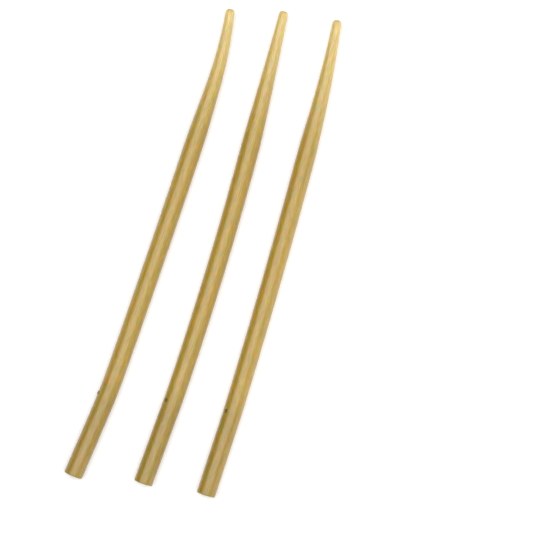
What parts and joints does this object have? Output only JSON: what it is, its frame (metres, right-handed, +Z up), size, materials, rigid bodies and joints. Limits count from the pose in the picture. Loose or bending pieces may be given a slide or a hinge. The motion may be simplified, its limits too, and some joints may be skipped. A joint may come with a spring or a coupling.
{
  "type": "ribbon wand set",
  "caption": "Loose tapered ribbon wands in translucent amber, each a jacket over a core rod, gently bent at the grip and tip.",
  "frame": {"origin": "on the surface that the wands lie on, under the middle of the set's bounding box", "axes": "+Y along the middle wand from butt to tip, +X towards the right wand, +Z up"},
  "size_m": [0.097, 0.325, 0.012],
  "materials": {
    "amber_jacket": "translucent amber resin, satin gloss with faint lengthwise fibre streaks",
    "fibre_core": "pale glass-fibre rod, lengthwise fibres",
    "grip_dowel": "plain beech dowel, fine lengthwise grain",
    "butt_plug": "amber resin, cut flat and lightly polished",
    "tip_bush": "plain turned brass",
    "grip_pin": "dulled brass"
  },
  "bodies": {
    "root": {"left_jacket": "amber_jacket", "left_core_rod": "fibre_core", "left_grip_dowel": "grip_dowel", "left_butt_plug": "butt_plug", "left_tip_bush": "tip_bush", "left_grip_pin": "grip_pin", "middle_jacket": "amber_jacket", "middle_core_rod": "fibre_core", "middle_grip_dowel": "grip_dowel", "middle_butt_plug": "butt_plug", "middle_tip_bush": "tip_bush", "middle_grip_pin": "grip_pin", "right_jacket": "amber_jacket", "right_core_rod": "fibre_core", "right_grip_dowel": "grip_dowel", "right_butt_plug": "butt_plug", "right_tip_bush": "tip_bush", "right_grip_pin": "grip_pin"}
  },
  "joints": []
}
